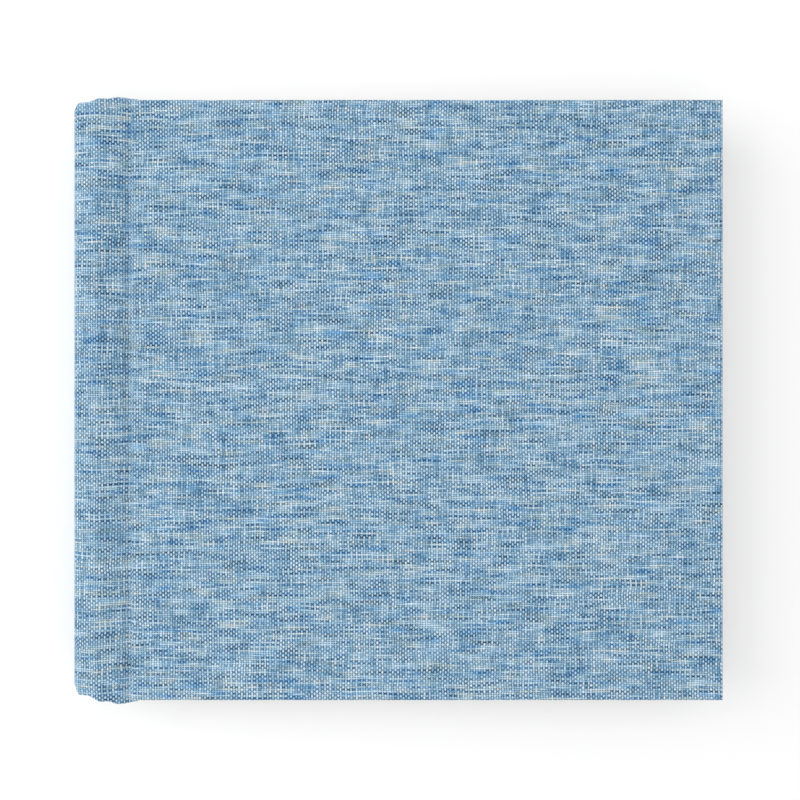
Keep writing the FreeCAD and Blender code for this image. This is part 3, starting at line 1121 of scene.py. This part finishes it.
@dataclass
class Case:
    """The cloth case: two halves of cloth, the spine's board and lining, and the two endpapers."""

    finishes: Finishes
    spine_bulge: float = 0.9 * MM
    cloth_to: float = 0.6 * MM
    board_to: float = 1.8 * MM
    lining_to: float = 2.1 * MM
    board_short: float = 0.8 * MM
    lining_short: float = 3.5 * MM
    flap_gap: float = 0.1 * MM
    endpaper_joint_count: int = 18
    endpaper_wide_count: int = 24
    endpaper_long_count: int = 21

    def sections(self) -> tuple[CaseSection, CaseSection]:
        """The two halves' sections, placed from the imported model.

        Returns:
            Front and back.
        """
        cover_low, cover_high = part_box("front_cover_cloth")
        spine_low, spine_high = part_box("spine_cloth")
        middle = (spine_low[2] + spine_high[2]) / 2
        shared = {
            "spine_x": spine_low[0] - self.spine_bulge,
            "middle_z": middle,
            "cover_x": cover_low[0],
            "fore_x": cover_high[0],
            "half_length": cover_high[1],
        }
        return (
            CaseSection(side=Side.FRONT, face_z=cover_high[2], **shared),
            CaseSection(side=Side.BACK, face_z=0.0, **shared),
        )

    def build(self) -> None:
        """Make every piece of the case, and hang the spine's board and lining on the binding's body."""
        sections = self.sections()
        for section in sections:
            side = section.side.value
            cloth = CaseCloth(section, self.finishes.bookcloth).build()
            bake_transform(cloth)
            spine = ["spine_cloth"] if section.side is Side.FRONT else []
            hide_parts(f"{side}_cover_cloth", f"{side}_joint_cloth", *spine)
        grey, kraft = self.finishes.greyboard, self.finishes.kraft
        board = SpineLayer("spine_stiffener", sections, self.cloth_to, self.board_to, self.board_short, grey)
        lining = SpineLayer(
            "spine_kraft_lining", sections, self.board_to, self.lining_to, self.lining_short, kraft
        )
        inner = ((board, "spine_board", "greyboard"), (lining, "spine_lining", "kraft_paper"))
        for layer, node, slot in inner:
            piece = layer.build()
            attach(piece, "binding")
            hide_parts(node)
        for section in sections:
            self._endpaper(section)

    def _endpaper(self, section: CaseSection) -> None:
        """An endpaper that carries on over the joint to the hinge strip.

        Args:
            section: the half of the case it lines.
        """
        side = section.side.value
        low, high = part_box(f"{side}_endpaper")
        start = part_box("binding_flaps")[1][0] + self.flap_gap
        over_joint = np.linspace(start, low[0], self.endpaper_joint_count)
        over_cover = np.linspace(low[0], high[0], self.endpaper_wide_count)
        x = np.concatenate([over_joint, over_cover[1:]])
        y = np.linspace(low[1], high[1], self.endpaper_long_count)
        grid_x, grid_y = np.meshgrid(x, y, indexing="ij")
        over = np.stack([grid_x, grid_y, np.full_like(grid_x, high[2])], axis=-1)
        under = np.stack([grid_x, grid_y, np.full_like(grid_x, low[2])], axis=-1)
        points, quads = slab(over, under)
        piece = new_piece(f"{side}_endpaper_sheet", points, quads, self.finishes.endpaper, rounded=False)
        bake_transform(piece)
        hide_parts(f"{side}_endpaper")


# ---- the leaves ----


@dataclass
class Leaf:
    """One leaf: a scored card from the binding to the fore edge, and a clear film over each face.

    Every card is cut and bound by hand, so each one sits a few tenths of a millimetre off and waves a little.
    """

    number: int
    finishes: Finishes
    bend_run: float = 42.0 * MM
    score_pitch: float = 4.0 * MM
    score_depth: float = 0.12 * MM
    score_half: float = 0.3 * MM
    score_count: int = 2
    wave: float = 0.05 * MM
    wave_across: Pair = (83 * MM, 61 * MM)
    wave_down: float = 37 * MM
    wander: float = 0.07 * MM
    wander_length: float = 19 * MM
    wander_run: float = 12 * MM
    shift_run: float = 60 * MM
    shift_spread: float = 0.22 * MM
    lift_spread: float = 0.02 * MM
    first_draw: int = 400
    bound_gap: float = 0.05 * MM
    bend_gap: float = 0.3 * MM
    film_gap: float = 0.005 * MM
    fine_step: float = 1.6 * MM
    coarse_count: int = 26
    coarse_end: float = 3 * MM
    card_long_count: int = 25
    film_long_count: int = 21

    def __post_init__(self) -> None:
        """Read the leaf's place and draw its own small errors."""
        self.name = f"leaf_{self.number:02d}"
        self.low, self.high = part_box(f"{self.name}_card")
        self.film_low, self.film_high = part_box(f"{self.name}_films")
        self.bound_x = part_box("leaf_binding_strips")[1][0]
        draw = np.random.default_rng(self.first_draw + self.number)
        self.shift = draw.normal(0, self.shift_spread, 2)
        self.phase = draw.uniform(0, 2 * math.pi, 4)
        self.lift = draw.normal(0, self.lift_spread)
        self.scores = range(1, self.score_count + 1)

    def _waviness(self, x: np.ndarray, y: np.ndarray) -> np.ndarray:
        """How far the card leaves its plane: two crossing waves that grow away from the binding.

        Args:
            x: places.
            y: places.

        Returns:
            Heights.
        """
        share = smooth(x, self.low[0], self.high[0])
        wide, tall = self.wave_across
        across = np.sin(x / wide + self.phase[0]) * np.cos(y / tall + self.phase[1])
        down = np.sin(y / self.wave_down + self.phase[2]) * share
        return self.lift * share + self.wave * (across + down) / 2 * share

    def _stations(self, low: float, high: float) -> np.ndarray:
        """X stations, closer together where the leaf bends.

        Args:
            low: first station.
            high: last station.

        Returns:
            The stations.
        """
        bend_end = self.bound_x + self.bend_run
        across_score = np.array([-0.1, 0.0, 0.1])
        scores = np.concatenate([self.bound_x + self.score_pitch * (n + across_score) for n in self.scores])
        fine = np.arange(self.bound_x, bend_end, self.fine_step)
        coarse = np.linspace(bend_end, self.high[0] - self.coarse_end, self.coarse_count)
        every = np.unique(np.concatenate([[low, high], fine, coarse, scores]))
        return every[(every >= low) & (every <= high)]

    def _sheet(self, x: np.ndarray, y: np.ndarray, z: float, ragged: bool) -> np.ndarray:
        """A grid of points on one level of the leaf.

        Args:
            x: stations.
            y: stations.
            z: the level before the leaf's waviness.
            ragged: whether the outline shows the knife's small wander.

        Returns:
            The grid.
        """
        grid_x, grid_y = np.meshgrid(x, y, indexing="ij")
        share = smooth(grid_x, self.low[0], self.low[0] + self.shift_run)
        wander = self.wander if ragged else 0.0
        fore = smooth(grid_x, self.high[0] - self.wander_run, self.high[0])
        cut = wander * np.sin(grid_y / self.wander_length + self.phase[3])
        new_x = grid_x + fore * (self.shift[0] + cut)
        new_y = grid_y + share * self.shift[1]
        return np.stack([new_x, new_y, z + self._waviness(grid_x, grid_y)], axis=-1)

    def build(self) -> None:
        """Make the card and the films in place of the leaf's nodes."""
        x = self._stations(self.bound_x + self.bound_gap, self.high[0])
        y = np.linspace(self.low[1], self.high[1], self.card_long_count)
        scored = np.zeros_like(x)
        for number in self.scores:
            middle = self.bound_x + number * self.score_pitch
            scored = np.maximum(scored, 1 - np.clip(np.abs(x - middle) / self.score_half, 0, 1))
        over = self._sheet(x, y, self.high[2], True)
        under = self._sheet(x, y, self.low[2], True)
        over[..., 2] -= (self.score_depth * scored)[:, None]
        under[..., 2] += (self.score_depth * scored)[:, None]
        points, quads = slab(over, under)
        card = new_piece(f"{self.name}_card_sheet", points, quads, self.finishes.leaf_card, rounded=False)
        self._hang(card, f"{self.name}_card")

        film_x = self._stations(self.film_low[0], self.film_high[0])
        film_y = np.linspace(self.film_low[1], self.film_high[1], self.film_long_count)
        film = self.film_high[2] - self.high[2]
        skins = []
        for z in (self.high[2], self.low[2] - film):
            top = self._sheet(film_x, film_y, z + film + self.film_gap, False)
            base = self._sheet(film_x, film_y, z + self.film_gap, False)
            skins.append(slab(top, base))
        count = len(skins[0][0])
        points = np.concatenate([skins[0][0], skins[1][0]])
        quads = np.concatenate([skins[0][1], skins[1][1] + count])
        films = new_piece(f"{self.name}_film_sheets", points, quads, self.finishes.film, rounded=True)
        self._hang(films, f"{self.name}_films")

    def _hang(self, piece: bpy.types.Object, node: str) -> None:
        """Bake a piece's place into its mesh and hide the node it stands for.

        Args:
            piece: the piece.
            node: the node it stands for.
        """
        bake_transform(piece)
        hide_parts(node)


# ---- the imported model's own pieces ----


KEPT_NODES = {
    "greyboard": (
        "front_cover_board",
        "back_cover_board",
        "front_hinge_board",
        "back_hinge_board",
        "binding_flaps",
    ),
    "endpaper": ("front_cover_filler", "back_cover_filler"),
    "card": ("leaf_binding_strips", "spacer_strips"),
    "aluminium": ("post_barrels", "post_screws"),
}


@dataclass
class PlainNodes:
    """The nodes that keep their own mesh and only take a finish."""

    finishes: Finishes

    def build(self) -> None:
        """Give each kept node its finish."""
        for name, nodes in KEPT_NODES.items():
            for node in nodes:
                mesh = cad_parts[node].data
                mesh.materials.clear()
                mesh.materials.append(getattr(self.finishes, name))


# ---- floor, light and camera ----


@dataclass
class Studio:
    """Pale floor, a broad soft key from the left, a bright room and a camera straight above."""

    camera_height: float = 0.45
    framed_width: float = 0.4232
    sensor_width: float = 36.0
    near_clip: float = 0.02
    aim_x: float = 0.77 * MM
    floor_half: float = 30.0
    floor_drop: float = 0.15 * MM
    floor_colour: str = "F8F8F8"
    floor_roughness: float = 0.95
    floor_shine: float = 0.1
    light_colour: str = "FFFFFF"
    key_place: tuple[float, float, float] = (-1.6, 0.4, 0.95)
    key_width: float = 1.5
    key_power: float = 15.0
    # How high up the room, as the sine of the elevation, and how bright.
    panels: tuple[Pair, ...] = (
        (0.0, 0.95),
        (0.25, 0.8),
        (0.5, 0.5),
        (0.74, 1.24),
        (0.93, 1.24),
        (1.0, 0.5),
    )

    def build(self) -> None:
        """Make the floor, the lights, the world and the camera."""
        self._floor()
        self._key()
        bpy.context.scene.world = self._room()
        bpy.context.scene.view_settings.view_transform = "Standard"
        self._camera()

    def _room(self) -> bpy.types.World:
        """A white room with a ring of soft panels high up round the table.

        Returns:
            The world.
        """
        world = bpy.data.worlds.new("soft_room")
        world.use_nodes = True
        nodes, links = world.node_tree.nodes, world.node_tree.links
        way = nodes.new("ShaderNodeTexCoord").outputs["Generated"]
        split = nodes.new("ShaderNodeSeparateXYZ")
        links.new(way, split.inputs[0])
        fall = nodes.new("ShaderNodeValToRGB")
        for number, (place, level) in enumerate(self.panels):
            stops = fall.color_ramp.elements
            stop = stops[number] if number < len(stops) else stops.new(place)
            stop.position = place
            stop.color = (level, level, level, 1.0)
        links.new(split.outputs["Z"], fall.inputs[0])
        links.new(fall.outputs[0], nodes["Background"].inputs["Strength"])
        nodes["Background"].inputs["Color"].default_value = linear(self.light_colour)
        return world

    def _floor(self) -> None:
        """A matt pale floor just under the album."""
        s = Shader("studio_floor_matt_paint")
        s.constants(
            {
                "Base Color": linear(self.floor_colour),
                "Roughness": self.floor_roughness,
                "Specular IOR Level": self.floor_shine,
            }
        )
        side = self.floor_half
        corners = np.array([[-side, -side], [side, -side], [side, side], [-side, side]])
        points = np.column_stack([corners, np.full(len(corners), -self.floor_drop)])
        face = np.arange(len(corners))[None]
        new_piece("studio_floor", points, face, s.material, rounded=False)

    def _key(self) -> None:
        """A square area light aimed at the album."""
        light = bpy.data.lights.new("key", "AREA")
        light.size = self.key_width
        light.energy = self.key_power
        light.color = linear(self.light_colour)[:3]
        lamp = bpy.data.objects.new("key", light)
        lamp.location = self.key_place
        lamp.rotation_euler = (-Vector(self.key_place)).to_track_quat("-Z", "Y").to_euler()
        bpy.context.scene.collection.objects.link(lamp)

    def _camera(self) -> None:
        """A camera that looks straight down on the cover."""
        data = bpy.data.cameras.new("camera")
        data.sensor_width = self.sensor_width
        data.lens = data.sensor_width * self.camera_height / self.framed_width
        data.clip_start = self.near_clip
        camera = bpy.data.objects.new("camera", data)
        face_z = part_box("front_cover_cloth")[1][2]
        camera.location = (self.aim_x, 0, face_z + self.camera_height)
        bpy.context.scene.collection.objects.link(camera)
        bpy.context.scene.camera = camera


def main() -> None:
    """Build the album and the studio round it."""
    logging.basicConfig(level=logging.INFO, format="%(name)s: %(message)s")
    finishes = Finishes()
    LOG.info("finishes made")
    PlainNodes(finishes).build()
    Case(finishes).build()
    LOG.info("case made")
    for number in range(1, LEAF_COUNT + 1):
        Leaf(number, finishes).build()
    LOG.info("leaves made")
    Studio().build()


if __name__ == "__main__":
    main()
